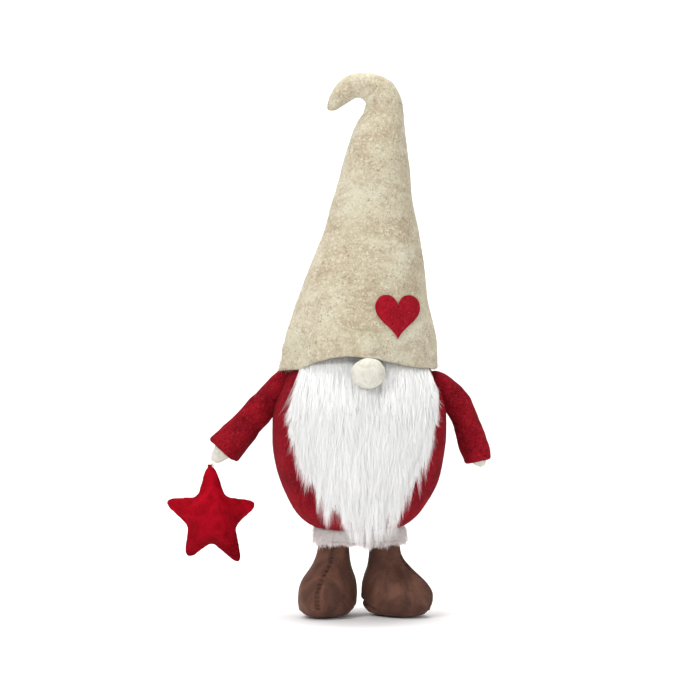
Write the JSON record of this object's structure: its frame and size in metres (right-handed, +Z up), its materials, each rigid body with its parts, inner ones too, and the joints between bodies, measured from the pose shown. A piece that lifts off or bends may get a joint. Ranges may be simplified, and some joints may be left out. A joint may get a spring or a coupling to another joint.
{
  "type": "gnome figurine",
  "caption": "Standing tomte gnome of felt and faux fur with a tall hooked hat, long beard, poseable arms, boots, and a stuffed star hanging from one hand.",
  "frame": {"origin": "on the floor, under the centre of the whole figurine's box with its hanging star", "axes": "+Z up, along the figurine's height; the gnome faces -Y; +X is the onlooker's right"},
  "size_m": [0.3128, 0.1648, 0.5296],
  "materials": {
    "red_felt": "matte",
    "hat_felt": "matte",
    "cream_felt": "matte",
    "heart_felt": "matte",
    "white_fur": "matte",
    "fur_backing": "matte",
    "star_velvet": "matte",
    "boot_suede": "matte",
    "fibre_filling": "matte",
    "pellet_cloth": "matte",
    "board": "matte",
    "dowel": "matte",
    "wire": "satin",
    "thread_cotton": "matte"
  },
  "bodies": {
    "body": {"body_front_panel": "red_felt", "body_back_panel": "red_felt", "body_stuffing": "fibre_filling", "base_board": "board", "left_leg_rod": "dowel", "right_leg_rod": "dowel", "fur_trim": "white_fur", "hat_front_panel": "hat_felt", "hat_back_panel": "hat_felt", "hat_stuffing": "fibre_filling", "hat_wire": "wire", "heart_applique": "heart_felt", "nose_ball": "cream_felt", "beard_backing": "fur_backing", "beard_pile": "white_fur"},
    "hat_tip": {"hat_tip_front_panel": "hat_felt", "hat_tip_back_panel": "hat_felt", "hat_tip_stuffing": "fibre_filling", "hat_tip_wire": "wire"},
    "left_arm": {"left_sleeve": "red_felt", "left_arm_stuffing": "fibre_filling", "left_arm_wire": "wire", "left_hand": "cream_felt"},
    "right_arm": {"right_sleeve": "red_felt", "right_arm_stuffing": "fibre_filling", "right_arm_wire": "wire", "right_hand": "cream_felt"},
    "thread": {"star_thread": "thread_cotton"},
    "star": {"star_front_panel": "star_velvet", "star_back_panel": "star_velvet", "star_stuffing": "fibre_filling"},
    "left_boot": {"left_boot_left_panel": "boot_suede", "left_boot_right_panel": "boot_suede", "left_boot_sole": "boot_suede", "left_boot_insole": "board", "left_boot_pellet_bag": "pellet_cloth", "left_boot_stuffing": "fibre_filling"},
    "right_boot": {"right_boot_left_panel": "boot_suede", "right_boot_right_panel": "boot_suede", "right_boot_sole": "boot_suede", "right_boot_insole": "board", "right_boot_pellet_bag": "pellet_cloth", "right_boot_stuffing": "fibre_filling"}
  },
  "joints": [
    {"name": "hat_tip_bend", "type": "hinge", "parent": "body", "child": "hat_tip", "pos_m": [0.0506, 0.0099, 0.477], "axis": [0, 1, 0], "range_deg": [-18, 18]},
    {"name": "left_arm_raise", "type": "hinge", "parent": "body", "child": "left_arm", "pos_m": [-0.0489, 0.0099, 0.221], "axis": [0, 1, 0], "range_deg": [-3, 30]},
    {"name": "right_arm_raise", "type": "hinge", "parent": "body", "child": "right_arm", "pos_m": [0.1136, 0.0099, 0.221], "axis": [0, -1, 0], "range_deg": [-2, 40]},
    {"name": "star_swing", "type": "hinge", "parent": "left_arm", "child": "thread", "pos_m": [-0.11297, 0.0099, 0.14754], "axis": [0, 1, 0], "range_deg": [-25, 25]},
    {"name": "star_sway", "type": "hinge", "parent": "thread", "child": "star", "pos_m": [-0.11297, 0.0099, 0.14504], "axis": [1, 0, 0], "range_deg": [-30, 30]},
    {"name": "left_boot_turn", "type": "hinge", "parent": "body", "child": "left_boot", "pos_m": [0.0041, 0.0154, 0.035], "axis": [0, 0, 1], "range_deg": [-15, 15]},
    {"name": "right_boot_turn", "type": "hinge", "parent": "body", "child": "right_boot", "pos_m": [0.0541, 0.0154, 0.035], "axis": [0, 0, 1], "range_deg": [-15, 15]}
  ]
}
